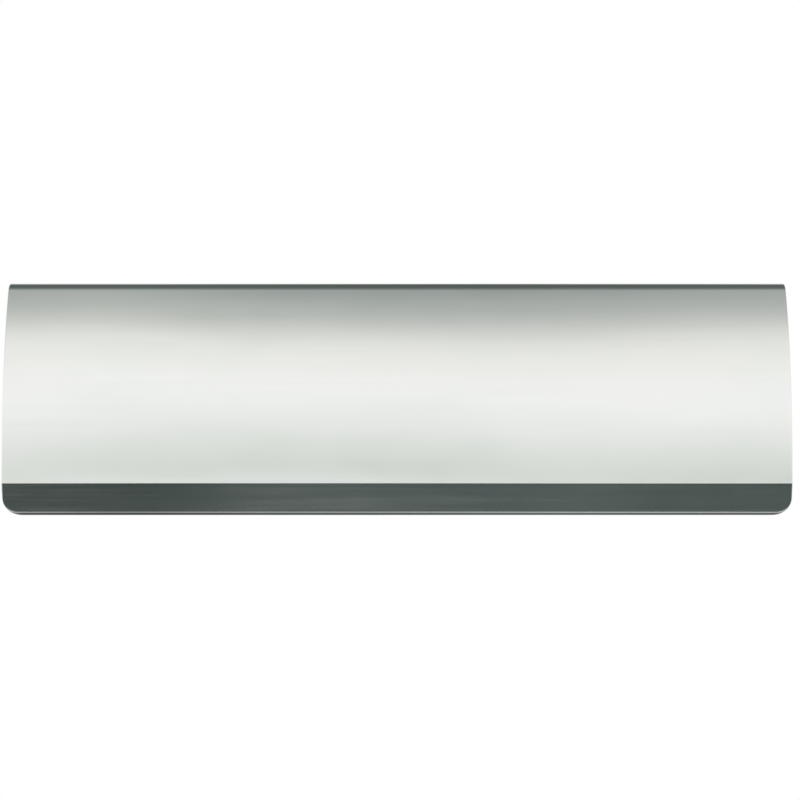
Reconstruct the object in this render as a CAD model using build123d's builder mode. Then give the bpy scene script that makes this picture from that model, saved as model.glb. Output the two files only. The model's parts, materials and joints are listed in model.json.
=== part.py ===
"""Interior letter flap: a bowed steel flap on a sprung top hinge, screwed to the inside of a door.

Frame: millimetres, +X along the flap, +Z up, -Y out into the room. The door's inner face is the
plane Y = 0, and the origin is the centre of the four fixing screws on that face. The flap is closed.
Pieces of the right-hand end are modelled at +X, and the left-hand end mirrors them.
"""

import os
from math import acos, atan2, cos, hypot, radians, sin, sqrt, tau

from build123d import *

os.makedirs("parts", exist_ok=True)

# -------------------------------------------------- flap
flap_width = 280.0
sheet = 1.8  # thickness of the flap
top_return = 1.9  # flat run of the turned-in top edge
top_bend_radius = 4.0  # outside radius of the turned-in top edge
top_slope = 5.0  # degrees that the front leans back just below the top bend
upper_radius, upper_turn = 158.0, 12.5  # tighter bow of the upper half
lower_radius, lower_turn = 290.0, 7.0  # flatter bow of the lower half
fold_radius, fold_turn = 2.5, 10.5  # crisp fold above the finger lip
lip_run = 11.65
lip_corner_radius = 7.0
edge_round = 1.0  # polished front edges

# -------------------------------------------------- hinge line
rod_standoff = 8.2  # from the door to the hinge axis
rod_height = 20.0  # above the centre of the fixing screws
rod_radius = 2.0
rod_length = 273.0
rod_chamfer = 0.4
running_gap = 0.04  # radial clearance of the rod in its bushes
bend_ahead, bend_above = 3.1, 3.3  # the top bend's centre, from the hinge axis

# -------------------------------------------------- brackets
bracket_x = 119.0
bracket_sheet = 2.0
bracket_width = 24.0
eye_radius = 5.0
foot_top, foot_bottom = 14.0, -14.0
ear_bottom = -4.0  # where the ears end on the base plate
foot_corner = 4.0
fold_edge_radius = 1.6  # outside of the folds between base plate and ears
bush_radius = 3.0
bush_flange_radius = 4.3
bush_flange = 0.8
tail_hole_radius = 0.75
tail_hole_back, tail_hole_drop = 0.3, 6.6  # behind and below the hinge axis

# -------------------------------------------------- fixing screws
screw_half_spacing = 7.0
screw_hole_radius = 2.1
screw_head_radius = 3.5
screw_sink_radius = 3.6
screw_neck_radius = 1.95
screw_thread_radius = 1.75
screw_length = 16.0  # behind the door's face
screw_point = 3.5
recess_width, recess_span, recess_depth = 0.9, 3.8, 1.4

# -------------------------------------------------- end lugs and clips
thrust_gap = 0.2
lug_sheet = 2.0
lug_eye_radius = 4.8
lug_weld_width = 7.2
lug_weld_sheet = 1.2
lug_weld_top, lug_weld_bottom = 2.0, -16.0  # from the hinge axis
lug_weld_drops = (3.5, 11.5)  # spot welds, below the hinge axis
lug_weld_radius, keeper_weld_radius, weld_depth = 1.6, 0.9, 0.2  # dents of the spot welds
clip_radius = 3.9
clip_sheet = 0.5
clip_crown = 0.9
clip_crown_radius = 2.9
clip_slot = 0.5

# -------------------------------------------------- springs and keepers
wire_radius = 0.5
coil_radius = 3.3
coil_pitch = 1.3
coil_start_x = 112.0
coil_whole_turns = 11
leg_bend_drop, leg_end_drop = 15.5, 25.0  # below the hinge axis
leg_gap = 0.06  # from the flap's inner face
leg_bend_radius = 2.0
hook_bend_radius = 0.9
hook_past_ear = 0.6
keeper_drop = 21.0  # below the hinge axis
keeper_height = 4.0
keeper_width = 9.0
keeper_sheet = 0.8
keeper_gap = 0.35  # slack of the spring leg in its keeper

# -------------------------------------------------- bumpers
bumper_x = 122.0
bumper_radius = 3.5
bumper_rim = 1.35
bumper_dome = 4.2  # radius of the domed end
bumper_setback = 5.4  # from the lip's lower edge

# -------------------------------------------------- worked-out places
axis_y = -rod_standoff
axis_z = rod_height
bend_y = axis_y - bend_ahead
bend_z = axis_z + bend_above
front_top_y = bend_y - top_bend_radius * cos(radians(top_slope))
front_top_z = bend_z + top_bend_radius * sin(radians(top_slope))
bow_y = front_top_y + upper_radius * cos(radians(top_slope))
bow_z = front_top_z - upper_radius * sin(radians(top_slope))
inner_bow = upper_radius - sheet
bracket_outer = bracket_x + bracket_width / 2
bracket_inner = bracket_x - bracket_width / 2
lug_inner = bracket_outer + bush_flange + thrust_gap
lug_outer = lug_inner + lug_sheet
hinge_axis = Axis((0, axis_y, axis_z), (1, 0, 0))


def flap_line(depth):
    """Draws the flap's section at a depth under its outer face, and gives its first and last points."""
    top = bend_z + top_bend_radius - depth
    back = Line((bend_y + top_return, top), (bend_y, top))
    bend = JernArc(back @ 1, back % 1, top_bend_radius - depth, 90 - top_slope)
    upper = JernArc(bend @ 1, bend % 1, upper_radius - depth, upper_turn)
    lower = JernArc(upper @ 1, upper % 1, lower_radius - depth, lower_turn)
    fold = JernArc(lower @ 1, lower % 1, fold_radius - depth, fold_turn)
    lip = Line(fold @ 1, fold @ 1 + (fold % 1) * lip_run)
    return back @ 0, lip @ 1


def inner_face_y(z):
    """Where the flap's inner face is, at a height in its upper half."""
    return bow_y - sqrt(inner_bow**2 - (z - bow_z) ** 2)


def export(part, name):
    part.label = name
    export_step(part, f"parts/{name}.step")


def export_pair(part, name):
    """Writes a right-hand piece and its left-hand mirror image."""
    export(part, f"right_{name}")
    export(mirror(part, about=Plane.YZ), f"left_{name}")


# -------------------------------------------------- flap shell
with BuildPart() as flap_shell:
    with BuildSketch(Plane.YZ):
        with BuildLine():
            outer_start, outer_end = flap_line(0)
            inner_start, inner_end = flap_line(sheet)
            Line(outer_start, inner_start)
            Line(outer_end, inner_end)
        make_face()
    extrude(amount=flap_width / 2, both=True)
    through_lip = Axis((0, 0, 0), (0, inner_end.X - outer_end.X, inner_end.Y - outer_end.Y))
    fillet(flap_shell.edges().filter_by(through_lip).group_by(Axis.Z)[0], lip_corner_radius)
    front = [face for face in flap_shell.faces() if min(face.normal_at().Y, -face.normal_at().Z) < -0.5]
    front_edges = ShapeList(front).edges()
    outline = ShapeList([edge for edge in front_edges if sum(edge == other for other in front_edges) == 1])
    rear_edge = outline.filter_by(Axis.X).group_by(Axis.Z)[-1]
    fillet([edge for edge in outline if edge not in rear_edge], edge_round)
export(flap_shell.part, "flap_shell")

# -------------------------------------------------- hinge rod
with BuildPart() as hinge_rod:
    with BuildSketch(Plane.YZ):
        with Locations((axis_y, axis_z)):
            Circle(rod_radius)
    extrude(amount=rod_length / 2, both=True)
    chamfer(hinge_rod.edges().filter_by(GeomType.CIRCLE), rod_chamfer)
export(hinge_rod.part, "hinge_rod")

# -------------------------------------------------- lug: an angle welded inside the flap
with BuildPart() as lug:
    with BuildSketch(Plane.YZ.offset(lug_inner)):
        with BuildLine():
            Polyline(
                (front_top_y, axis_z + lug_weld_top),
                (front_top_y, axis_z + lug_weld_bottom),
                (front_top_y + 4.0, axis_z + lug_weld_bottom),
            )
            CenterArc((axis_y, axis_z), lug_eye_radius, 0, 360)
        make_hull()
    extrude(amount=lug_sheet)
    with BuildSketch(Plane.YZ.offset(lug_inner)):
        with Locations((bow_y, bow_z)):
            Circle(inner_bow)
            Circle(inner_bow - lug_weld_sheet, mode=Mode.SUBTRACT)
        with Locations((front_top_y, axis_z + (lug_weld_top + lug_weld_bottom) / 2)):
            Rectangle(12, lug_weld_top - lug_weld_bottom, mode=Mode.INTERSECT)
    extrude(amount=lug_weld_width)
    with BuildSketch(Plane.YZ):
        with Locations((bow_y, bow_z)):
            Circle(inner_bow)
    extrude(amount=flap_width, mode=Mode.INTERSECT)
    with BuildSketch(Plane.YZ.offset(lug_inner)):
        with Locations((axis_y, axis_z)):
            Circle(rod_radius)
    extrude(amount=lug_sheet, mode=Mode.SUBTRACT)
    for drop in lug_weld_drops:
        weld_y = inner_face_y(axis_z - drop) + lug_weld_sheet - weld_depth
        weld_x = lug_inner + (lug_sheet + lug_weld_width) / 2
        with BuildSketch(Plane(origin=(weld_x, weld_y, axis_z - drop), z_dir=(0, 1, 0))):
            Circle(lug_weld_radius)
        extrude(amount=lug_weld_sheet, mode=Mode.SUBTRACT)
export_pair(lug.part, "lug")

# -------------------------------------------------- clip: a domed push-on ring with teeth
with BuildPart() as rod_clip:
    with BuildSketch(Plane(origin=(lug_outer, axis_y, axis_z), x_dir=(1, 0, 0), z_dir=(0, -1, 0))):
        with BuildLine():
            Polyline(
                (0, clip_crown_radius - 0.3),
                (0, clip_radius),
                (clip_sheet, clip_radius),
                (clip_sheet + clip_crown, clip_crown_radius),
                (clip_sheet + clip_crown, rod_radius),
                (clip_crown, rod_radius),
                (clip_crown, clip_crown_radius - 0.3),
                close=True,
            )
        make_face()
    revolve(axis=hinge_axis)
    with BuildSketch(Plane.YZ.offset(lug_outer)):
        with Locations((axis_y, axis_z)):
            with PolarLocations(0, 2, angular_range=180):
                Rectangle(2 * clip_crown_radius, clip_slot)
    extrude(amount=2 * clip_crown, mode=Mode.SUBTRACT)
export_pair(rod_clip.part, "rod_clip")

# -------------------------------------------------- bracket: a base plate with two ears folded out
with BuildPart() as bracket:
    with BuildSketch(Plane.XZ):
        with Locations((bracket_x, (foot_top + foot_bottom) / 2)):
            Rectangle(bracket_width, foot_top - foot_bottom)
    extrude(amount=bracket_sheet)
    fillet(bracket.edges().filter_by(Axis.Y).group_by(Axis.Z)[0], foot_corner)
    for x in (bracket_inner, bracket_outer - bracket_sheet):
        with BuildSketch(Plane.YZ.offset(x)):
            with BuildLine():
                CenterArc((axis_y, axis_z), eye_radius, 0, 360)
                Line((0, ear_bottom), (0, foot_top))
            make_hull()
            with Locations((axis_y, axis_z)):
                Circle(bush_radius, mode=Mode.SUBTRACT)
        extrude(amount=bracket_sheet)
    with BuildSketch(Plane.YZ.offset(bracket_outer)):
        with Locations((axis_y + tail_hole_back, axis_z - tail_hole_drop)):
            Circle(tail_hole_radius)
    extrude(amount=-bracket_sheet, mode=Mode.SUBTRACT)
    folds = bracket.edges().filter_by(Axis.Z).filter_by_position(Axis.Y, -0.01, 0.01)
    fillet(folds, fold_edge_radius)
    sink_depth = screw_sink_radius - screw_hole_radius
    for z in (-screw_half_spacing, screw_half_spacing):
        with BuildSketch(Plane.XY.offset(z)):
            with BuildLine():
                Polyline(
                    (bracket_x, 0),
                    (bracket_x + screw_hole_radius, 0),
                    (bracket_x + screw_hole_radius, sink_depth - bracket_sheet),
                    (bracket_x + screw_sink_radius, -bracket_sheet),
                    (bracket_x, -bracket_sheet),
                    close=True,
                )
            make_face()
        revolve(axis=Axis((bracket_x, 0, z), (0, 1, 0)), mode=Mode.SUBTRACT)
export_pair(bracket.part, "bracket")

# -------------------------------------------------- bushes: flanged, pressed in from outside
for name, face_x, outward in (("outer_bush", bracket_outer, 1), ("inner_bush", bracket_inner, -1)):
    with BuildPart() as bush:
        with BuildSketch(Plane.YZ.offset(face_x)):
            with Locations((axis_y, axis_z)):
                Circle(bush_radius)
        extrude(amount=-outward * bracket_sheet)
        with BuildSketch(Plane.YZ.offset(face_x)):
            with Locations((axis_y, axis_z)):
                Circle(bush_flange_radius)
        extrude(amount=outward * bush_flange)
        with BuildSketch(Plane.YZ.offset(face_x - outward * bracket_sheet)):
            with Locations((axis_y, axis_z)):
                Circle(rod_radius + running_gap)
        extrude(amount=outward * (bush_flange + bracket_sheet), mode=Mode.SUBTRACT)
    export_pair(bush.part, name)

# -------------------------------------------------- spring: its leg pulls the flap shut
# The coil starts where the leg's line touches it, behind the rod, and winds back, top, front, bottom.
leg_bend = (inner_face_y(axis_z - leg_bend_drop) + wire_radius + leg_gap - axis_y, -leg_bend_drop)
leg_end = (inner_face_y(axis_z - leg_end_drop) + wire_radius + leg_gap - axis_y, -leg_end_drop)
hook = (tail_hole_back, -tail_hole_drop)
leg_length = sqrt(hypot(*leg_bend) ** 2 - coil_radius**2)
tail_length = sqrt(hypot(*hook) ** 2 - coil_radius**2)
start_angle = atan2(leg_bend[1], leg_bend[0]) + acos(coil_radius / hypot(*leg_bend))
end_angle = atan2(hook[1], hook[0]) - acos(coil_radius / hypot(*hook))
coil_turns = coil_whole_turns + ((end_angle - start_angle) / tau) % 1
axial_slope = coil_pitch / (tau * coil_radius)
leg_x = coil_start_x - axial_slope * leg_length
coil_end_x = coil_start_x + coil_pitch * coil_turns
hook_x = coil_end_x + axial_slope * tail_length
start_plane = Plane(
    origin=(coil_start_x, axis_y, axis_z),
    x_dir=(0, cos(start_angle), sin(start_angle)),
    z_dir=(1, 0, 0),
)
coil = start_plane * Helix(coil_pitch, coil_pitch * coil_turns, coil_radius)
with BuildPart() as spring:
    with BuildLine() as wire:
        add(coil)
        FilletPolyline(
            coil @ 0,
            (leg_x, axis_y + leg_bend[0], axis_z + leg_bend[1]),
            (leg_x, axis_y + leg_end[0], axis_z + leg_end[1]),
            radius=leg_bend_radius,
        )
        FilletPolyline(
            coil @ 1,
            (hook_x, axis_y + hook[0], axis_z + hook[1]),
            (bracket_outer + hook_past_ear, axis_y + hook[0], axis_z + hook[1]),
            radius=hook_bend_radius,
        )
    wire_end = wire.vertices().sort_by(Axis.Z)[0]
    with BuildSketch(Plane(origin=wire_end, z_dir=(0, leg_end[0] - leg_bend[0], leg_end[1] - leg_bend[1]))):
        Circle(wire_radius)
    sweep(path=wire.wires()[0])
export_pair(spring.part, "spring")

# -------------------------------------------------- keeper: a strap welded over the spring's leg
keeper_z = axis_z - keeper_drop
keeper_face = inner_face_y(keeper_z)
channel = wire_radius + keeper_gap
bridge = keeper_face + 2 * wire_radius + leg_gap + keeper_gap
with BuildPart() as keeper:
    with BuildSketch(Plane.XY.offset(keeper_z)):
        with Locations((leg_x, keeper_face)):
            Rectangle(keeper_width, 2 * keeper_sheet)
        with Locations((leg_x, keeper_face)):
            Rectangle(2 * (channel + keeper_sheet), 2 * (bridge + keeper_sheet - keeper_face))
            Rectangle(2 * channel, 2 * (bridge - keeper_face), mode=Mode.SUBTRACT)
    extrude(amount=keeper_height / 2, both=True)
    with BuildSketch(Plane.XZ.offset(weld_depth - keeper_face - keeper_sheet)):
        with Locations((leg_x, keeper_z)):
            with GridLocations(keeper_width / 2 + channel + keeper_sheet, 0, 2, 1):
                Circle(keeper_weld_radius)
    extrude(amount=-weld_depth, mode=Mode.SUBTRACT)
    with BuildSketch(Plane.YZ):
        with Locations((bow_y, bow_z)):
            Circle(inner_bow)
    extrude(amount=flap_width, mode=Mode.INTERSECT)
export_pair(keeper.part, "spring_keeper")

# -------------------------------------------------- bumper: a rubber dome behind the lip
inward = (inner_end - outer_end) * (1 / sheet)
seat_y = inner_end.X - inward.Y * bumper_setback
seat_z = inner_end.Y + inward.X * bumper_setback
dome_height = bumper_rim + bumper_dome - sqrt(bumper_dome**2 - bumper_radius**2)
bumper_plane = Plane(origin=(bumper_x, seat_y, seat_z), x_dir=(1, 0, 0), z_dir=(0, -inward.Y, inward.X))
with BuildPart() as bumper:
    with BuildSketch(bumper_plane):
        with BuildLine():
            Polyline((0, dome_height), (0, 0), (bumper_radius, 0), (bumper_radius, bumper_rim))
            RadiusArc((bumper_radius, bumper_rim), (0, dome_height), -bumper_dome)
        make_face()
    revolve(axis=Axis((bumper_x, seat_y, seat_z), (0, inward.X, inward.Y)))
export_pair(bumper.part, "bumper")

# -------------------------------------------------- fixing screws: countersunk wood screws
with BuildPart() as fixing_screws:
    for z in (-screw_half_spacing, screw_half_spacing):
        with BuildSketch(Plane.XY.offset(z)):
            with BuildLine():
                Polyline(
                    (bracket_x, -bracket_sheet),
                    (bracket_x + screw_head_radius, -bracket_sheet),
                    (bracket_x + screw_neck_radius, screw_head_radius - screw_neck_radius - bracket_sheet),
                    (bracket_x + screw_neck_radius, 0),
                    (bracket_x + screw_thread_radius, 0),
                    (bracket_x + screw_thread_radius, screw_length - screw_point),
                    (bracket_x, screw_length),
                    close=True,
                )
            make_face()
        revolve(axis=Axis((bracket_x, 0, z), (0, 1, 0)))
    with BuildSketch(Plane.XZ.offset(bracket_sheet)):
        with GridLocations(0, 2 * screw_half_spacing, 1, 2):
            with Locations((bracket_x, 0)):
                Rectangle(recess_span, recess_width)
                Rectangle(recess_width, recess_span)
    extrude(amount=-recess_depth, mode=Mode.SUBTRACT)
export_pair(fixing_screws.part, "fixing_screws")
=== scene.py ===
"""Looks of the interior letter flap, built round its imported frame.

The scene is in metres: +X along the flap, +Z up, -Y out into the room, and the door's inner face is at
Y = 0. The constants are in millimetres and degrees where nothing else is said. The hinge's axis and the
CAD pieces' boxes are read from the frame.
"""

import json
from math import acos, atan2, ceil, cos, hypot, pi, radians, sin, sqrt, tau

import bpy
import numpy as np
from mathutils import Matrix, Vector


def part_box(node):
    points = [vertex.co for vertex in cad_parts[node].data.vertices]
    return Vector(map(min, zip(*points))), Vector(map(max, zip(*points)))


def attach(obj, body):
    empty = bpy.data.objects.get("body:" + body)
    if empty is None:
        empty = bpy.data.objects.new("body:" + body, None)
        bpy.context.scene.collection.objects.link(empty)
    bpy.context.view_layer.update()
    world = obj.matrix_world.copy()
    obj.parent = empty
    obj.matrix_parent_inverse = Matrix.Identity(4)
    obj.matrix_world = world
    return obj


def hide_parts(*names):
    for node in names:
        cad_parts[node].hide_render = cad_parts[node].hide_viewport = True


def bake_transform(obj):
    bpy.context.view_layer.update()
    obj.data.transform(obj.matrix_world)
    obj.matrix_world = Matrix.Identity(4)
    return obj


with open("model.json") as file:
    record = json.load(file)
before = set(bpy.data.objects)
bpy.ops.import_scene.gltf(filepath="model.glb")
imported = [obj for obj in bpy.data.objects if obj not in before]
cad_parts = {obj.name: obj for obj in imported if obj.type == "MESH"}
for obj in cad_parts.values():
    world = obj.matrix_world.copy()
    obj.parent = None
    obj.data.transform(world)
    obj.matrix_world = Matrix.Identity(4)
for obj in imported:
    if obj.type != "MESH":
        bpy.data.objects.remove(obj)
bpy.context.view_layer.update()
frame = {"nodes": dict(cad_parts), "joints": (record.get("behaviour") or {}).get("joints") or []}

# ---------------------------------------------------------------- places taken from the frame
MM = 0.001
MICRON = 0.000001
hinge = Vector(frame["joints"][0]["pos_m"]) / MM
half_width = (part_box("flap_shell")[1] / MM).x
spring_end_x = (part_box("right_spring")[1] / MM).x
screw_low, screw_high = (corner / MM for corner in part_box("right_fixing_screws"))

# ---------------------------------------------------------------- flap section
SHEET = 1.8
TOP_RETURN = 1.9
LIP = 11.65
# Radius of the outer face and turn of each bend
TOP_BEND, TOP_TURN = 4.0, 85.0
UPPER_BOW, UPPER_TURN = 158.0, 12.5
LOWER_BOW, LOWER_TURN = 290.0, 7.0
FOLD, FOLD_TURN = 2.5, 10.5
# (length along the outer face, turn) of each stretch, from the rear of the top return to the lip's end
STRETCHES = (
    (TOP_RETURN, 0.0),
    (TOP_BEND * radians(TOP_TURN), TOP_TURN),
    (UPPER_BOW * radians(UPPER_TURN), UPPER_TURN),
    (LOWER_BOW * radians(LOWER_TURN), LOWER_TURN),
    (FOLD * radians(FOLD_TURN), FOLD_TURN),
    (LIP, 0.0),
)
ROWS_PER_STRETCH = (5, 18, 34, 30, 8, 5)
CORNER_ROWS = 18
# Columns of points: their distances from each end, and how many are spread between the last of these
END_GAPS = (0.0, 0.15, 0.45, 1.2, 2.6, 5.0)
MIDDLE_COLUMNS = 54
# Radii of the front edge down the sides and at the lip's end, of the rear edge, and of the lip's corners
SIDE_ROUND, LIP_ROUND = 0.6, 1.68
BURR = 0.12
LIP_CORNER = 7.0
# How soon the lip's edge loses its fuller round in the corners
ROUND_FADE = 6
# Steps round the front and rear edges
FRONT_STEPS, REAR_STEPS = 9, 3
ROUNDING_SLACK = 1e-9
# Centre of the top bend, in front of and above the hinge's axis
BEND_AHEAD, BEND_ABOVE = 3.1, 3.3
bend_centre = (hinge.y - BEND_AHEAD, hinge.z + BEND_ABOVE)
unrolled = sum(length for length, turn in STRETCHES)


# ---------------------------------------------------------------- node helpers
def put(tree, kind, settings=None, **inputs):
    """Adds a node. Inputs are numbers, colours or other nodes' output sockets, by input name or _index."""
    node = tree.nodes.new(kind)
    for name, value in (settings or {}).items():
        setattr(node, name, value)
    for name, value in inputs.items():
        socket = node.inputs[int(name[1:])] if name[0] == "_" else node.inputs[name.replace("__", " ")]
        if isinstance(value, bpy.types.NodeSocket):
            tree.links.new(value, socket)
        else:
            socket.default_value = value
    return node


def ramp(tree, factor, stops, interpolation="LINEAR"):
    """Adds a colour ramp with (position, linear colour) stops, and returns its colour socket."""
    node = put(tree, "ShaderNodeValToRGB", _0=factor)
    node.color_ramp.interpolation = interpolation
    elements = node.color_ramp.elements
    while len(elements) < len(stops):
        elements.new(1.0)
    for element, (position, colour) in zip(elements, stops):
        element.position = position
        element.color = (*colour, 1.0)
    return node.outputs["Color"]


def grey_ramp(tree, factor, *stops):
    return ramp(tree, factor, [(position, (value, value, value)) for position, value in stops])


def scaled(tree, vector, scale):
    return put(tree, "ShaderNodeMapping", Vector=vector, Scale=scale).outputs["Vector"]


def stretched(tree, scale):
    """Object coordinates, times a scale on each axis."""
    return scaled(tree, put(tree, "ShaderNodeTexCoord").outputs["Object"], scale)


def noise_at(tree, vector, detail, rough):
    node = put(tree, "ShaderNodeTexNoise", Vector=vector, Scale=1.0, Detail=detail, Roughness=rough)
    return node.outputs["Fac"]


def noise(tree, scale, detail=2.0, rough=0.5):
    """Noise fixed to the object, with a number of features per metre on each axis."""
    return noise_at(tree, stretched(tree, scale), detail, rough)


def arithmetic(tree, operation, first, second):
    return put(tree, "ShaderNodeMath", {"operation": operation}, _0=first, _1=second).outputs[0]


def remap(tree, value, low, high, to_low=0.0, to_high=1.0, interpolation="LINEAR"):
    """Maps the span low to high on to the span to_low to to_high."""
    node = put(
        tree,
        "ShaderNodeMapRange",
        {"interpolation_type": interpolation},
        _0=value,
        _1=low,
        _2=high,
        _3=to_low,
        _4=to_high,
    )
    return node.outputs[0]


def grey_of(tree, factor, low, high):
    """Maps a noise's usual span, 0.3 to 0.7, on to low to high."""
    return remap(tree, factor, 0.3, 0.7, low, high)


def mix_numbers(tree, factor, first, second):
    return put(tree, "ShaderNodeMix", _0=factor, _2=first, _3=second).outputs[0]


def mix_colours(tree, factor, first, second, blend="MIX"):
    settings = {"data_type": "RGBA", "blend_type": blend}
    return put(tree, "ShaderNodeMix", settings, _0=factor, _6=first, _7=second).outputs[2]


def bumps(tree, *layers):
    """Stacks (height socket, strength, height in micrometres) layers, and returns the normal socket."""
    normal = None
    for height, strength, microns in layers:
        node = put(tree, "ShaderNodeBump", Height=height, Strength=strength, Distance=microns * MICRON)
        if normal is not None:
            tree.links.new(normal, node.inputs["Normal"])
        normal = node.outputs["Normal"]
    return normal


def shader(name, **constants):
    """A new material, its tree and its Principled node, with the constants on the shader's own sockets."""
    material = bpy.data.materials.new(name)
    material.use_nodes = True
    tree = material.node_tree
    principled = tree.nodes["Principled BSDF"]
    for socket, value in constants.items():
        principled.inputs[socket.replace("__", " ")].default_value = value
    return material, tree, principled


def connect(tree, principled, **sockets):
    for name, socket in sockets.items():
        tree.links.new(socket, principled.inputs[name.replace("__", " ")])


# ---------------------------------------------------------------- materials
def polished_steel():
    """The flap's front: buffed along its length, with faint buffing lines, smudges and a slight waviness."""
    material, tree, principled = shader("polished_steel", Metallic=1.0)
    lines = noise(tree, (14.0, 700.0, 700.0), 3.0, 0.6)
    smudges = noise(tree, (14.0, 30.0, 30.0), 3.0, 0.55)
    fine = noise(tree, (60.0, 5000.0, 5000.0), 2.0)
    waves = noise(tree, (9.0, 20.0, 20.0), 1.0)
    colour = ramp(
        tree,
        smudges,
        [(0.3, (0.865, 0.880, 0.868)), (0.5, (0.905, 0.915, 0.905)), (0.7, (0.925, 0.930, 0.922))],
    )
    polish = arithmetic(tree, "ADD", grey_of(tree, lines, 0.09, 0.15), grey_of(tree, smudges, 0.0, 0.05))
    normal = bumps(tree, (waves, 0.35, 120), (lines, 0.1, 4), (fine, 0.12, 1))
    connect(tree, principled, Base__Color=colour, Roughness=polish, Normal=normal)
    return material


def mill_steel():
    """The flap's back: rolled steel, duller than the front, with rolling lines and handling marks."""
    material, tree, principled = shader("mill_steel", Metallic=1.0)
    lines = noise(tree, (16.0, 1500.0, 1500.0), 2.0)
    marks = noise(tree, (30.0, 150.0, 150.0), 4.0, 0.6)
    colour = ramp(
        tree,
        marks,
        [(0.3, (0.585, 0.595, 0.59)), (0.5, (0.635, 0.645, 0.64)), (0.7, (0.665, 0.67, 0.665))],
    )
    rough = arithmetic(tree, "ADD", grey_of(tree, lines, 0.24, 0.34), grey_of(tree, marks, 0.0, 0.05))
    normal = bumps(tree, (lines, 0.15, 6), (marks, 0.1, 15))
    connect(tree, principled, Base__Color=colour, Roughness=rough, Normal=normal)
    return material


def drawn_rod():
    """Drawn bright steel: fine lines along the rod, under a patchy film."""
    material, tree, principled = shader("drawn_rod", Metallic=1.0)
    lines = noise(tree, (12.0, 3200.0, 3200.0), 3.0, 0.6)
    film = noise(tree, (160.0, 160.0, 160.0), 3.0)
    colour = ramp(
        tree,
        film,
        [(0.32, (0.50, 0.495, 0.49)), (0.5, (0.60, 0.605, 0.61)), (0.68, (0.66, 0.665, 0.67))],
    )
    normal = bumps(tree, (lines, 0.35, 12))
    rough = grey_of(tree, lines, 0.20, 0.38)
    connect(tree, principled, Base__Color=colour, Roughness=rough, Normal=normal)
    return material


def pressed_steel():
    """Zinc-plated pressed steel: a fine spangle, rolling lines and dull patches."""
    material, tree, principled = shader("pressed_steel", Metallic=1.0)
    grain = noise(tree, (900.0, 900.0, 140.0), 3.0, 0.6)
    patches = noise(tree, (150.0, 150.0, 150.0), 4.0, 0.6)
    crystals = put(
        tree,
        "ShaderNodeTexVoronoi",
        {"feature": "F1"},
        Vector=stretched(tree, (420.0, 420.0, 420.0)),
        Scale=1.0,
    ).outputs["Color"]
    spangle = put(tree, "ShaderNodeSeparateColor", _0=crystals).outputs[0]
    film = ramp(
        tree,
        patches,
        [(0.3, (0.43, 0.445, 0.46)), (0.5, (0.56, 0.57, 0.58)), (0.7, (0.62, 0.62, 0.615))],
    )
    facets = grey_ramp(tree, spangle, (0.0, 0.90), (1.0, 1.0))
    colour = mix_colours(tree, 1.0, film, facets, "MULTIPLY")
    rough = arithmetic(tree, "ADD", grey_of(tree, grain, 0.26, 0.38), grey_of(tree, patches, 0.0, 0.10))
    normal = bumps(tree, (grain, 0.25, 14), (patches, 0.15, 30))
    connect(tree, principled, Base__Color=colour, Roughness=rough, Normal=normal)
    return material


def spring_steel():
    """Oil-blued spring steel: dark, with fine marks and a browner film in places."""
    material, tree, principled = shader("spring_steel", Metallic=1.0)
    film = noise(tree, (260.0, 260.0, 260.0), 3.0, 0.6)
    marks = noise(tree, (1500.0, 1500.0, 1500.0), 2.0)
    colour = ramp(
        tree,
        film,
        [(0.3, (0.24, 0.235, 0.24)), (0.5, (0.40, 0.40, 0.405)), (0.68, (0.47, 0.455, 0.43))],
    )
    normal = bumps(tree, (marks, 0.3, 6), (film, 0.1, 12))
    rough = grey_of(tree, marks, 0.24, 0.42)
    connect(tree, principled, Base__Color=colour, Roughness=rough, Normal=normal)
    return material


def screw_steel():
    """Bright zinc-plated screw steel, with turning marks and rubbed patches."""
    material, tree, principled = shader("screw_steel", Metallic=1.0)
    marks = noise(tree, (700.0, 2600.0, 700.0), 3.0, 0.6)
    rubbed = noise(tree, (320.0, 320.0, 320.0), 3.0)
    colour = ramp(
        tree,
        rubbed,
        [(0.3, (0.52, 0.52, 0.50)), (0.5, (0.67, 0.67, 0.65)), (0.7, (0.74, 0.735, 0.70))],
    )
    normal = bumps(tree, (marks, 0.3, 8))
    rough = grey_of(tree, marks, 0.20, 0.36)
    connect(tree, principled, Base__Color=colour, Roughness=rough, Normal=normal)
    return material


def nylon():
    """Natural nylon: off-white, slightly waxy, with a faint mottle and a fine skin."""
    material, tree, principled = shader("nylon", Subsurface__Weight=0.12, Subsurface__Scale=0.001, IOR=1.53)
    mottle = noise(tree, (420.0, 420.0, 420.0), 4.0, 0.6)
    texture = noise(tree, (2600.0, 2600.0, 2600.0), 2.0)
    colour = ramp(
        tree,
        mottle,
        [(0.3, (0.69, 0.665, 0.58)), (0.5, (0.78, 0.765, 0.69)), (0.7, (0.82, 0.81, 0.75))],
    )
    normal = bumps(tree, (texture, 0.2, 12), (mottle, 0.1, 20))
    rough = grey_of(tree, mottle, 0.38, 0.52)
    connect(tree, principled, Base__Color=colour, Roughness=rough, Normal=normal)
    return material


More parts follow.
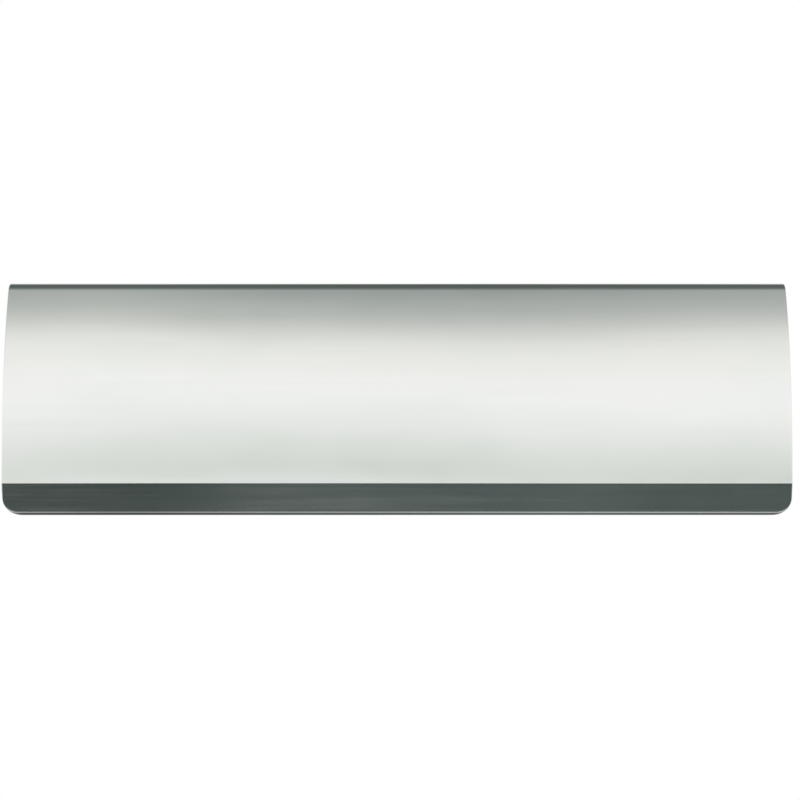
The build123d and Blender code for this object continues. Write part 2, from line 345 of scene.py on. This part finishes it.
def bumper_rubber():
    """Black moulded rubber: a matt skin with a little dust."""
    material, tree, principled = shader("bumper_rubber", IOR=1.52)
    dust = noise(tree, (520.0, 520.0, 520.0), 5.0, 0.65)
    skin = noise(tree, (3000.0, 3000.0, 3000.0), 3.0, 0.6)
    colour = ramp(
        tree,
        dust,
        [(0.35, (0.010, 0.010, 0.011)), (0.55, (0.017, 0.017, 0.018)), (0.75, (0.050, 0.049, 0.047))],
    )
    normal = bumps(tree, (skin, 0.45, 30), (dust, 0.1, 30))
    rough = grey_of(tree, dust, 0.55, 0.80)
    connect(tree, principled, Base__Color=colour, Roughness=rough, Normal=normal)
    return material


def pale_floor():
    """The studio floor: matt and pale, with a barely visible mottle."""
    material, tree, principled = shader("pale_floor", Roughness=0.9)
    mottle = noise(tree, (3.0, 3.0, 3.0), 3.0)
    connect(tree, principled, Base__Color=grey_ramp(tree, mottle, (0.3, 0.70), (0.7, 0.74)))
    return material


# ---------------------------------------------------------------- mesh helpers
def mesh_object(name, points, faces, normals=None, materials=(), face_materials=None):
    """A smooth-shaded mesh object from points in mm, with its own vertex normals if they are given."""
    mesh = bpy.data.meshes.new(name)
    mesh.from_pydata((np.asarray(points, float) * MM).tolist(), [], [[int(i) for i in f] for f in faces])
    for material in materials:
        mesh.materials.append(material)
    mesh.polygons.foreach_set("use_smooth", [True] * len(mesh.polygons))
    if face_materials is not None:
        mesh.polygons.foreach_set("material_index", face_materials)
    if normals is not None:
        mesh.normals_split_custom_set_from_vertices(np.asarray(normals, float).tolist())
    mesh.update()
    made = bpy.data.objects.new(name, mesh)
    bpy.context.scene.collection.objects.link(made)
    return made


# ---------------------------------------------------------------- flap shell
def section(s):
    """The outer face's point, direction and outward normal, s mm along its section."""
    y, z, heading = bend_centre[0] + TOP_RETURN, bend_centre[1] + TOP_BEND, pi
    for index, (length, turn) in enumerate(STRETCHES):
        last = index == len(STRETCHES) - 1
        t = s if last else min(s, length)
        curvature = radians(turn) / length
        if curvature:
            centre_y, centre_z = y - sin(heading) / curvature, z + cos(heading) / curvature
            heading += curvature * t
            y, z = centre_y + sin(heading) / curvature, centre_z - cos(heading) / curvature
        else:
            y, z = y + t * cos(heading), z + t * sin(heading)
        s -= t
        if s <= ROUNDING_SLACK:
            break
    along = np.array([0.0, cos(heading), sin(heading)])
    outward = np.array([0.0, sin(heading), -cos(heading)])
    return np.array([0.0, y, z]), along, outward


def flap_rows():
    """(kind, value) of each row: ("edge", angle) round the rear burr, ("flat", s), ("corner", angle)."""
    rows = [("edge", radians(angle)) for angle in (90, 60, 30)]
    start, reached = BURR, 0.0
    for (length, turn), count in zip(STRETCHES, ROWS_PER_STRETCH):
        reached += length
        end = min(reached, unrolled - LIP_CORNER)
        rows += [("flat", start + (end - start) * i / count) for i in range(count)]
        start = end
    rows += [("corner", radians(90) * i / CORNER_ROWS) for i in range(CORNER_ROWS + 1)]
    return rows


def column_shares():
    """Columns across the flap, as shares of its half width, closer together near the ends."""
    near = [1 - gap / half_width for gap in END_GAPS]
    middle = list(np.linspace(near[-1], -near[-1], MIDDLE_COLUMNS))[1:-1]
    return near + middle + [-share for share in reversed(near)]


def flap_shell():
    """The flap: a bowed sheet with rounded edges, a turned-in top and a folded lip."""
    rows, shares = flap_rows(), column_shares()
    points, normals, faces, sides = [], [], [], []

    def rim_round(kind, value):
        """Radius of the front edge: slight down the sides, and fuller along the lip's end."""
        share = sin(value) ** ROUND_FADE if kind == "corner" else 0.0
        return SIDE_ROUND + (LIP_ROUND - SIDE_ROUND) * share

    def row_place(kind, value, inset):
        """A row's s, half width and outward direction (across, along), on the outline less an inset."""
        if kind == "corner":
            radius = LIP_CORNER - inset
            s = unrolled - LIP_CORNER + radius * sin(value)
            return s, half_width - LIP_CORNER + radius * cos(value), (cos(value), sin(value))
        s = BURR * (1 - sin(value)) if kind == "edge" else value
        return s, half_width - inset, (1.0, 0.0)

    def add(x, s, depth, normal):
        """Adds a point below the outer face. Its normal is given as (across, along, outward)."""
        base, along, outward = section(s)
        points.append(base - outward * depth + np.array([x, 0.0, 0.0]))
        n = normal[0] * np.array([1.0, 0.0, 0.0]) + normal[1] * along + normal[2] * outward
        normals.append(n / np.linalg.norm(n))
        return len(points) - 1

    def face_grid(inset, depth, side):
        """One face of the sheet: side 1 is the outer face and -1 the inner face."""
        grid = []
        for kind, value in rows:
            s, half, _ = row_place(kind, value, inset or rim_round(kind, value))
            tip = value if kind == "edge" else 0.0
            sunk = BURR * (1 - cos(tip)) * side
            normal = (0.0, -sin(tip), side * cos(tip))
            grid.append([add(half * share, s, depth + sunk, normal) for share in shares])
        for upper, lower in zip(grid, grid[1:]):
            for i in range(len(shares) - 1):
                quad = (upper[i], upper[i + 1], lower[i + 1], lower[i])
                faces.append(quad if side > 0 else quad[::-1])
                sides.append(0 if side > 0 else 1)
        return grid

    outer = face_grid(None, 0.0, 1)
    inner = face_grid(BURR, SHEET, -1)

    def border(grid):
        """The face's outline, down the right side, along the lip and up the left side."""
        right = [row[0] for row in grid]
        left = [row[-1] for row in grid]
        return right + grid[-1][1:-1] + left[::-1]

    stations = [(kind, value, 1) for kind, value in rows]
    stations += [("corner", radians(90), share) for share in shares[1:-1]]
    stations += [(kind, value, -1) for kind, value in reversed(rows)]
    front = [(angle, True) for angle in np.linspace(0, pi / 2, FRONT_STEPS + 1)[1:]]
    rear = [(pi / 2 + angle, False) for angle in np.linspace(0, pi / 2, REAR_STEPS + 1)[:-1]]
    rings = [border(outer)]
    for angle, in_front in front + rear:
        ring = []
        for kind, value, share in stations:
            radius = rim_round(kind, value) if in_front else BURR
            inset = radius * (1 - sin(angle))
            depth = radius * (1 - cos(angle)) if in_front else SHEET - radius * (1 + cos(angle))
            s, half, outline = row_place(kind, value, inset)
            tip = value if kind == "edge" else 0.0
            sunk = BURR * (1 - cos(tip))
            across, along = outline[0] * (1 if share > 0 else -1), outline[1]
            x = half * share - across * sunk * sin(angle)
            normal = (across * sin(angle) * cos(tip), along * sin(angle) - sin(tip), cos(angle) * cos(tip))
            ring.append(add(x, s, depth + sunk * cos(angle), normal))
        rings.append(ring)
    rings.append(border(inner))
    for ring, following in zip(rings, rings[1:]):
        for i in range(len(ring) - 1):
            faces.append((ring[i], ring[i + 1], following[i + 1], following[i]))
            sides.append(0)
    for i in range(len(shares) - 1):
        faces.append((outer[0][i + 1], outer[0][i], inner[0][i], inner[0][i + 1]))
        sides.append(0)
    faces.append([ring[0] for ring in rings])
    faces.append([ring[-1] for ring in reversed(rings)])
    sides += [0, 0]
    return mesh_object("flap_sheet", points, faces, normals, (polished_steel(), mill_steel()), sides)


# ---------------------------------------------------------------- springs
# Radii of the wire and of the coil's centre line
WIRE, COIL = 0.5, 3.3
PITCH = 1.3
COIL_START_X = 112.0
WHOLE_TURNS = 11
COIL_STEPS = 30
WIRE_SIDES = 14
WIRE_BURR = 0.08
# The leg on the flap: how far below the axis it bends and ends, and its gap to the flap
LEG_BEND_DROP, LEG_END_DROP = 15.5, 25.0
LEG_GAP = 0.06
# The tail in the bracket's ear: how far behind and below the axis it is
HOOK_BACK, HOOK_DROP = 0.3, 6.6
LEG_BEND_RADIUS, HOOK_BEND_RADIUS = 2.0, 0.9
CORNER_POINTS = 9


def inner_face_y(z):
    """Where the flap's inner face is, at a height in its upper half."""
    lean = radians(90 - TOP_TURN)
    bow_y = bend_centre[0] + (UPPER_BOW - TOP_BEND) * cos(lean)
    bow_z = bend_centre[1] - (UPPER_BOW - TOP_BEND) * sin(lean)
    return bow_y - sqrt((UPPER_BOW - SHEET) ** 2 - (z - bow_z) ** 2)


def rounded_corner(before, corner, after, radius):
    """Points of the arc that rounds a corner of a bent wire."""
    to_before = (before - corner) / np.linalg.norm(before - corner)
    to_after = (after - corner) / np.linalg.norm(after - corner)
    half = acos(float(np.clip(to_before @ to_after, -1, 1))) / 2
    middle = (to_before + to_after) / np.linalg.norm(to_before + to_after)
    centre = corner + middle * radius / sin(half)
    first = corner + to_before * radius * cos(half) / sin(half) - centre
    last = corner + to_after * radius * cos(half) / sin(half) - centre
    sweep = pi - 2 * half
    return [
        centre + (first * sin(sweep * (1 - t)) + last * sin(sweep * t)) / sin(sweep)
        for t in np.linspace(0, 1, CORNER_POINTS)
    ]


def spring_path():
    """The right-hand spring's centre line, from its leg to its tail, and the x where its coil ends."""
    drops = (LEG_BEND_DROP, LEG_END_DROP)
    depths = [inner_face_y(hinge.z - drop) + WIRE + LEG_GAP - hinge.y for drop in drops]
    start_angle = atan2(-LEG_BEND_DROP, depths[0]) + acos(COIL / hypot(depths[0], LEG_BEND_DROP))
    end_angle = atan2(-HOOK_DROP, HOOK_BACK) - acos(COIL / hypot(HOOK_BACK, HOOK_DROP))
    turns = WHOLE_TURNS + ((end_angle - start_angle) / tau) % 1
    slope = PITCH / (tau * COIL)
    leg_x = COIL_START_X - slope * sqrt(hypot(depths[0], LEG_BEND_DROP) ** 2 - COIL**2)
    hook_x = COIL_START_X + PITCH * turns + slope * sqrt(hypot(HOOK_BACK, HOOK_DROP) ** 2 - COIL**2)

    def place(x, back, up):
        return np.array([x, hinge.y + back, hinge.z + up])

    coil = []
    for i in range(ceil(turns * COIL_STEPS) + 1):
        t = min(i / COIL_STEPS, turns)
        angle = start_angle + t * tau
        coil.append(place(COIL_START_X + PITCH * t, COIL * cos(angle), COIL * sin(angle)))
    leg_end = place(leg_x, depths[1], -LEG_END_DROP)
    leg_bend = place(leg_x, depths[0], -LEG_BEND_DROP)
    hook = place(hook_x, HOOK_BACK, -HOOK_DROP)
    tail = place(spring_end_x, HOOK_BACK, -HOOK_DROP)
    leg = [leg_end] + rounded_corner(leg_end, leg_bend, coil[0], LEG_BEND_RADIUS)
    end = rounded_corner(coil[-1], hook, tail, HOOK_BEND_RADIUS) + [tail]
    return leg + coil + end, COIL_START_X + PITCH * turns


def tube_faces(faces, here, there, around):
    """Adds the quads between two rings of points, given by their first points' indices."""
    for k in range(around):
        following = (k + 1) % around
        faces.append((here + k, here + following, there + following, there + k))


def wire_tube(name, path, material):
    """A round wire along a path, with cropped ends whose edges are slightly broken."""
    path = np.array(path)
    steps = np.gradient(path, axis=0)
    tangents = steps / np.linalg.norm(steps, axis=1)[:, None]
    tangents[0] = (path[1] - path[0]) / np.linalg.norm(path[1] - path[0])
    tangents[-1] = (path[-1] - path[-2]) / np.linalg.norm(path[-1] - path[-2])
    places = [
        (path[0], tangents[0], WIRE - WIRE_BURR),
        (path[0] + tangents[0] * WIRE_BURR, tangents[0], WIRE),
        *((place, tangent, WIRE) for place, tangent in zip(path[1:-1], tangents[1:-1])),
        (path[-1] - tangents[-1] * WIRE_BURR, tangents[-1], WIRE),
        (path[-1], tangents[-1], WIRE - WIRE_BURR),
    ]
    # Any direction that the wire doesn't start in
    side = np.cross(tangents[0], (0.0, 1.0, 0.3))
    points, faces = [], []
    for centre, tangent, radius in places:
        side = side - tangent * (side @ tangent)
        side /= np.linalg.norm(side)
        other = np.cross(tangent, side)
        for k in range(WIRE_SIDES):
            angle = tau * k / WIRE_SIDES
            points.append(centre + radius * (cos(angle) * side + sin(angle) * other))
    for i in range(len(places) - 1):
        tube_faces(faces, i * WIRE_SIDES, (i + 1) * WIRE_SIDES, WIRE_SIDES)
    faces.append(list(range(WIRE_SIDES))[::-1])
    faces.append([(len(places) - 1) * WIRE_SIDES + k for k in range(WIRE_SIDES)])
    return mesh_object(name, points, faces, None, (material,))


def springs():
    material = spring_steel()
    path, coil_end_x = spring_path()
    for side, sign in (("right", 1.0), ("left", -1.0)):
        mirrored = [point * np.array([sign, 1.0, 1.0]) for point in path]
        wire = wire_tube(f"{side}_spring_wire", mirrored, material)
        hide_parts(f"{side}_spring")
        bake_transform(wire)


# ---------------------------------------------------------------- fixing screws
# Radii of the head, the plain neck, the thread's crest and root, the thread's first turn, and the tip
HEAD, NECK, THREAD, ROOT = 3.5, 1.95, 1.75, 1.2
RUN_IN, TIP = THREAD - 0.05, 0.03
SCREW_SIDES = 36
THREAD_START = 1.0
THREAD_PITCH = 1.5
THREAD_STEPS = 16
# The thread's ridge takes up 2 / RIDGE of its pitch
RIDGE = 4.2
POINT = 3.5
# Cross recess: each slot's width, length and depth, and how much of the first two is left at its floor
SLOT_WIDTH, SLOT_LENGTH, SLOT_DEPTH = 0.9, 3.8, 1.4
SLOT_TAPER = 0.62
CUTTER_ABOVE = 0.5
SCREW_SHARP_ANGLE = 50


def thread_radius(base, end, k):
    """The threaded part's radius at a depth, on side k of the screw."""
    phase = ((base - THREAD_START) / THREAD_PITCH - k / SCREW_SIDES) % 1.0
    crest = max(0.0, 1 - abs(phase - 0.5) * RIDGE)
    body = ROOT + (THREAD - ROOT) * crest
    grown = min(1.0, (base - THREAD_START) / THREAD_PITCH)
    radius = RUN_IN * (1 - grown) + body * grown
    left = min(1.0, max(0.0, (end - base) / POINT))
    return radius * left + TIP * (1 - left)


def screw_mesh(name, x, z, material):
    """A countersunk wood screw along +Y: head with a cross recess, plain neck, thread and gimlet point."""
    top, end = screw_low.y, screw_high.y
    neck_start = top + HEAD - NECK
    profile = [
        (top, 0.9 * HEAD),
        (top, HEAD - 0.12),
        (top + 0.05, HEAD - 0.02),
        (top + 0.16, HEAD - 0.06),
        (neck_start - 0.1, NECK + 0.1),
        (neck_start + 0.1, NECK),
        (0.0, THREAD),
        (THREAD_START, RUN_IN),
    ]
    rings = [(y, [radius] * SCREW_SIDES) for y, radius in profile]
    steps = ceil((end - THREAD_START) / THREAD_PITCH * THREAD_STEPS)
    for i in range(1, steps + 1):
        base = THREAD_START + (end - THREAD_START) * i / steps
        rings.append((base, [thread_radius(base, end, k) for k in range(SCREW_SIDES)]))
    points, faces = [], []
    for y, radii in rings:
        for k, radius in enumerate(radii):
            angle = tau * k / SCREW_SIDES
            points.append((x + radius * cos(angle), y, z + radius * sin(angle)))
    for i in range(len(rings) - 1):
        tube_faces(faces, i * SCREW_SIDES, (i + 1) * SCREW_SIDES, SCREW_SIDES)
    faces.append(list(range(SCREW_SIDES))[::-1])
    faces.append([(len(rings) - 1) * SCREW_SIDES + k for k in range(SCREW_SIDES)])
    screw = mesh_object(name, points, [f[::-1] for f in faces], None, (material,))
    cut_recess(screw, x, top, z, material)
    return screw


def cut_recess(screw, x, top, z, material):
    """Cuts the cross recess, tapering to its floor."""
    points, faces = [], []
    for turned in (0, 1):
        base = len(points)
        for y, taper in ((top - CUTTER_ABOVE, 1.0), (top + SLOT_DEPTH, SLOT_TAPER)):
            for u, v in ((-1, -1), (1, -1), (1, 1), (-1, 1)):
                a, b = u * SLOT_LENGTH / 2 * taper, v * SLOT_WIDTH / 2 * taper
                points.append((x + (b if turned else a), y, z + (a if turned else b)))
        quads = [(0, 1, 2, 3), (7, 6, 5, 4), (0, 4, 5, 1), (1, 5, 6, 2), (2, 6, 7, 3), (3, 7, 4, 0)]
        faces += [tuple(base + i for i in (q if not turned else q[::-1])) for q in quads]
    cutter = mesh_object("recess_cutter", points, faces, None, (material,))
    cut = screw.modifiers.new("recess", "BOOLEAN")
    cut.operation, cut.solver, cut.object, cut.use_self = "DIFFERENCE", "EXACT", cutter, True
    graph = bpy.context.evaluated_depsgraph_get()
    finished = bpy.data.meshes.new_from_object(screw.evaluated_get(graph))
    screw.modifiers.clear()
    screw.data = finished
    bpy.data.objects.remove(cutter)


def screws():
    material = screw_steel()
    for side in ("right", "left"):
        low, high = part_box(f"{side}_fixing_screws")
        x = (low.x + high.x) / 2 / MM
        pair = []
        for z in (screw_low.z + HEAD, screw_high.z - HEAD):
            pair.append(screw_mesh(f"{side}_screw_{'lower' if z < 0 else 'upper'}", x, z, material))
        for screw in pair:
            sharp_by_angle(screw, SCREW_SHARP_ANGLE)
            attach(screw, "door_side")
            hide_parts(f"{side}_fixing_screws")


def sharp_by_angle(made, degrees):
    """Shades smooth, with edges sharper than an angle kept crisp."""
    made.data.polygons.foreach_set("use_smooth", [True] * len(made.data.polygons))
    made.data.set_sharp_from_angle(angle=radians(degrees))


# ---------------------------------------------------------------- pieces that keep their CAD mesh
FLAT_ANGLE = 0.5
BEVEL_ANGLE = 40


def finish_cad_piece(name, material, edge):
    """Gives a CAD node its material, merges its flat faces' triangles, and bevels its sharp edges."""
    node = frame["nodes"][name]
    node.data.materials.clear()
    node.data.materials.append(material)
    weld = node.modifiers.new("weld", "WELD")
    weld.merge_threshold = 2 * MICRON
    merge = node.modifiers.new("merge_flat_faces", "DECIMATE")
    merge.decimate_type, merge.angle_limit = "DISSOLVE", radians(FLAT_ANGLE)
    bevel = node.modifiers.new("edges", "BEVEL")
    bevel.width, bevel.segments, bevel.limit_method = edge * MM, 2, "ANGLE"
    bevel.angle_limit, bevel.face_strength_mode = radians(BEVEL_ANGLE), "FSTR_ALL"
    flatten = node.modifiers.new("flat_faces", "WEIGHTED_NORMAL")
    flatten.mode, flatten.use_face_influence = "FACE_AREA", True


def cad_pieces():
    makers = (pressed_steel, drawn_rod, spring_steel, nylon, bumper_rubber)
    pressed, rod, clip, plastic, rubber = (make() for make in makers)
    finish_cad_piece("hinge_rod", rod, 0.1)
    for side in ("left", "right"):
        finish_cad_piece(f"{side}_bracket", pressed, 0.18)
        finish_cad_piece(f"{side}_lug", pressed, 0.15)
        finish_cad_piece(f"{side}_spring_keeper", pressed, 0.1)
        finish_cad_piece(f"{side}_rod_clip", clip, 0.06)
        finish_cad_piece(f"{side}_outer_bush", plastic, 0.1)
        finish_cad_piece(f"{side}_inner_bush", plastic, 0.1)
        finish_cad_piece(f"{side}_bumper", rubber, 0.15)


# ---------------------------------------------------------------- studio
# What steel sees in front of the flap: (height above the horizon, red, green, blue as shown on screen)
SURROUNDINGS = (
    (-90, 84, 87, 85),
    (-66, 92, 94, 92),
    (-61, 140, 143, 140),
    (-55, 204, 207, 205),
    (-47, 196, 200, 198),
    (-43.5, 78, 87, 85),
    (-35, 65, 74, 72),
    (-30, 71, 80, 78),
    (-25, 84, 94, 91),
    (-21, 248, 250, 248),
    (-17.3, 222, 226, 223),
    (-16, 198, 202, 197),
    (-14.4, 209, 214, 209),
    (-13, 216, 219, 215),
    (-10.3, 222, 225, 221),
    (-7.5, 230, 231, 229),
    (-4.7, 237, 238, 235),
    (-1.5, 241, 241, 241),
    (3.5, 238, 238, 235),
    (8.3, 233, 233, 230),
    (11.8, 227, 228, 224),
    (14.3, 220, 220, 217),
    (16.7, 206, 207, 203),
    (19.1, 188, 190, 186),
    (21, 178, 181, 178),
    (24.1, 169, 173, 170),
    (27.9, 158, 163, 161),
    (31, 143, 150, 147),
    (43, 112, 120, 116),
    (60, 88, 95, 92),
    (90, 80, 87, 84),
)
# What changes to the left and right: (sideways part of the direction, how much higher the upper and the
# lower bands stand, how many percent lighter the bands that the lip shows are)
SWAY = (
    (-0.30, 0.0, 0.0, 0.0),
    (-0.225, 0.4, -1.0, -14.0),
    (-0.175, 4.2, 1.4, -42.0),
    (-0.12, 0.8, 1.4, -6.0),
    (-0.06, -0.6, 1.3, 0.0),
    (0.0, -1.0, 1.2, 0.0),
    (0.06, -2.8, -0.3, 26.0),
    (0.12, -1.1, -0.8, 28.0),
    (0.175, 0.0, -1.4, -2.0),
    (0.215, 1.2, -1.4, 18.0),
    (0.30, 0.0, 0.0, 0.0),
)
# What it sees behind the flap, as in SURROUNDINGS
BEHIND = (
    (-90, 88, 91, 88),
    (-60, 96, 98, 96),
    (-35, 112, 115, 113),
    (-12, 205, 207, 204),
    (2, 240, 241, 239),
    (30, 236, 237, 234),
    (48, 190, 194, 190),
    (66, 104, 109, 106),
    (90, 80, 86, 83),
)
# How far SWAY can reach each way: part of the direction, height, percent
SIDEWAYS_SPAN, SWAY_SPAN, LIP_SPAN = 0.5, 10, 100
# Heights over which the lower bands' sway becomes the upper bands', and the lip's light starts
UPPER_FROM, UPPER_TO = -6, 8
LIP_FROM, LIP_TO = -22, -27
# Part of the direction over which the bands in front become those behind
BEHIND_FROM, BEHIND_TO = -0.1, 0.3
# Noise that bends the bands, by up to DRIFT, and noise that streaks them
CLOUDS, DRIFT = (13.0, 2.0, 11.0), 3
STREAKS = (7.0, 2.0, 45.0)
# How strong the streaks are, from straight down (0) to straight up (1)
STREAK_STRENGTHS = (
    (0.0, 0.3),
    (0.2, 2.2),
    (0.36, 2.2),
    (0.39, 0.08),
    (0.60, 0.10),
    (0.64, 0.5),
    (1.0, 0.5),
)
# The share of light that the polished steel reflects
STEEL_SHARE = 0.9
WHITE = (1.0, 1.0, 1.0, 1.0)


def light_of(shown):
    """Linear light of a screen value, made up for what the steel takes away."""
    value = shown / 255
    return (value / 12.92 if value <= 0.04045 else ((value + 0.055) / 1.055) ** 2.4) / STEEL_SHARE


def band_stops(bands):
    return [((height + 90) / 180, [light_of(value) for value in colour]) for height, *colour in bands]


def sway_stops():
    """SWAY as a ramp's stops, with 0.5 where nothing changes."""
    stops = []
    for side, upper, lower, lip in SWAY:
        spans = ((upper, SWAY_SPAN), (lower, SWAY_SPAN), (lip, LIP_SPAN))
        colour = [0.5 + value / (2 * span) for value, span in spans]
        stops.append((0.5 + side / (2 * SIDEWAYS_SPAN), colour))
    return stops


def surroundings():
    """World light: white to the camera and to matt surfaces, and soft pale and grey bands to gloss."""
    world = bpy.data.worlds.new("studio")
    bpy.context.scene.world = world
    world.use_nodes = True
    tree = world.node_tree
    tree.nodes.clear()
    direction = put(tree, "ShaderNodeTexCoord").outputs["Generated"]
    across, back, up = put(tree, "ShaderNodeSeparateXYZ", _0=direction).outputs
    height = put(tree, "ShaderNodeMath", {"operation": "ARCSINE"}, _0=up).outputs[0]

    sideways = remap(tree, across, -SIDEWAYS_SPAN, SIDEWAYS_SPAN)
    sway = put(tree, "ShaderNodeSeparateColor", _0=ramp(tree, sideways, sway_stops(), "B_SPLINE"))
    raised = remap(tree, height, radians(UPPER_FROM), radians(UPPER_TO), interpolation="SMOOTHSTEP")
    shift = mix_numbers(tree, raised, sway.outputs[1], sway.outputs[0])
    shift = remap(tree, shift, 0.0, 1.0, -radians(SWAY_SPAN), radians(SWAY_SPAN))
    clouds = noise_at(tree, scaled(tree, direction, CLOUDS), 2.0, 0.5)
    drift = remap(tree, clouds, 0.0, 1.0, -radians(DRIFT), radians(DRIFT))
    level = arithmetic(tree, "SUBTRACT", arithmetic(tree, "ADD", height, drift), shift)
    place = remap(tree, level, -pi / 2, pi / 2)

    front = ramp(tree, place, band_stops(SURROUNDINGS))
    rear = ramp(tree, place, band_stops(BEHIND))
    behind = remap(tree, back, BEHIND_FROM, BEHIND_TO, interpolation="SMOOTHSTEP")
    bands = mix_colours(tree, behind, front, rear)

    lowest = remap(tree, height, radians(LIP_FROM), radians(LIP_TO), interpolation="SMOOTHSTEP")
    lip_light = remap(tree, sway.outputs[2], 0.0, 1.0, 1 - LIP_SPAN / 100, 1 + LIP_SPAN / 100)
    plain_light = mix_numbers(tree, lowest, 1.0, lip_light)
    streaks = noise_at(tree, scaled(tree, direction, STREAKS), 3.0, 0.55)
    strength = grey_ramp(tree, place, *STREAK_STRENGTHS)
    streaks = arithmetic(tree, "MULTIPLY", arithmetic(tree, "SUBTRACT", streaks, 0.5), strength)
    light = arithmetic(tree, "ADD", streaks, plain_light)
    studio = put(tree, "ShaderNodeVectorMath", {"operation": "SCALE"}, _0=bands, Scale=light).outputs[0]

    rays = put(tree, "ShaderNodeLightPath").outputs
    plain = arithmetic(tree, "MAXIMUM", rays["Is Camera Ray"], rays["Is Diffuse Ray"])
    shown = mix_colours(tree, plain, studio, WHITE)
    background = put(tree, "ShaderNodeBackground", Color=shown, Strength=1.0)
    output = tree.nodes.new("ShaderNodeOutputWorld")
    tree.links.new(background.outputs[0], output.inputs[0])


# Lights and floor, in metres and watts
LIGHT_SIZE, LIGHT_POWER = 1.2, 9.0
FLOOR_SIZE, FLOOR_Z = 14.0, -0.9


def soft_light(name, place):
    """A large soft light that aims at the flap and isn't itself seen."""
    data = bpy.data.lights.new(name, "AREA")
    data.shape, data.size, data.energy = "DISK", LIGHT_SIZE, LIGHT_POWER
    light = bpy.data.objects.new(name, data)
    light.location = place
    light.rotation_euler = (-Vector(place)).to_track_quat("-Z", "Y").to_euler()
    light.visible_camera = False
    light.visible_glossy = False
    bpy.context.scene.collection.objects.link(light)


def floor():
    """A plain pale floor well below the flap, which the steel doesn't reflect."""
    bpy.ops.mesh.primitive_grid_add(
        x_subdivisions=4, y_subdivisions=4, size=FLOOR_SIZE, location=(0, 0, FLOOR_Z)
    )
    ground = bpy.context.object
    ground.name = "studio_floor"
    ground.data.materials.append(pale_floor())
    ground.visible_glossy = False


# How steeply the camera looks up, and where it stands from the middle of the flap's top edge: to the right,
# down the picture, and towards the room
RISE = 15
ASIDE, DOWN, DISTANCE = 1.05, 42.1, 608.0
LENS, SENSOR = 75.6, 36.0
CLIP = (0.01, 50.0)


def camera():
    """Looks up at the flap from the room, square to its length."""
    rise = radians(RISE)
    up = Vector((0, -sin(rise), cos(rise)))
    towards = Vector((0, -cos(rise), -sin(rise)))
    top_edge = Vector((ASIDE, *bend_centre)) + up * TOP_BEND
    data = bpy.data.cameras.new("camera")
    data.lens, data.sensor_width = LENS, SENSOR
    data.clip_start, data.clip_end = CLIP
    cam = bpy.data.objects.new("camera", data)
    cam.location = (top_edge - up * DOWN + towards * DISTANCE) * MM
    cam.rotation_euler = (-towards).to_track_quat("-Z", "Y").to_euler()
    bpy.context.scene.collection.objects.link(cam)
    bpy.context.scene.camera = cam


# ---------------------------------------------------------------- build
flap = flap_shell()
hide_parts("flap_shell")
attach(flap, "flap")
springs()
screws()
cad_pieces()
surroundings()
soft_light("key", (-0.9, -1.3, 1.0))
soft_light("back", (0.8, 1.4, 0.9))
floor()
camera()
bpy.context.scene.view_settings.view_transform = "Standard"
